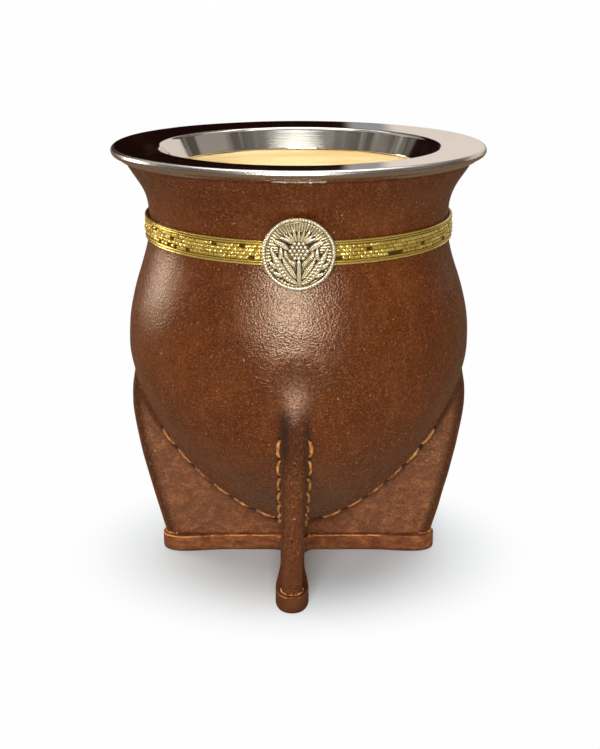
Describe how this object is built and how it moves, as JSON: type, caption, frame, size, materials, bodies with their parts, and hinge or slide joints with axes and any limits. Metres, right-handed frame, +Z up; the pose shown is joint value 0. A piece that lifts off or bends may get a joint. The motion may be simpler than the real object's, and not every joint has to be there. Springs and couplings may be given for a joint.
{
  "type": "leather covered mate gourd cup",
  "caption": "Empty drinking gourd in stitched brown leather, with a steel rim collar, a gilt neck band, a round relief and pinched fins that stand on a cross-shaped sole.",
  "frame": {"origin": "middle of the footprint, on the surface that the sole stands on", "axes": "+Z up along the cup's axis, -Y to the front with the medallion, +X to the right seen from the front"},
  "size_m": [0.1, 0.1, 0.1204],
  "materials": {
    "gourd": "dried gourd wall, smooth, matte",
    "leather": "pebbled brown hide, waxed",
    "sole_leather": "thick brown hide, raw tan upper face",
    "steel": "polished stainless steel",
    "gilt": "embossed gilt strip",
    "pale_gilt": "pale cast relief with dark hollows",
    "waxed_thread": "waxed tan thread"
  },
  "bodies": {
    "root": {"gourd_shell": "gourd", "leather_cover": "leather", "sole": "sole_leather", "rim": "steel", "gilt_band": "gilt", "medallion": "pale_gilt", "seam_thread_right": "waxed_thread", "seam_thread_back": "waxed_thread", "seam_thread_left": "waxed_thread", "seam_thread_front": "waxed_thread"}
  },
  "joints": []
}
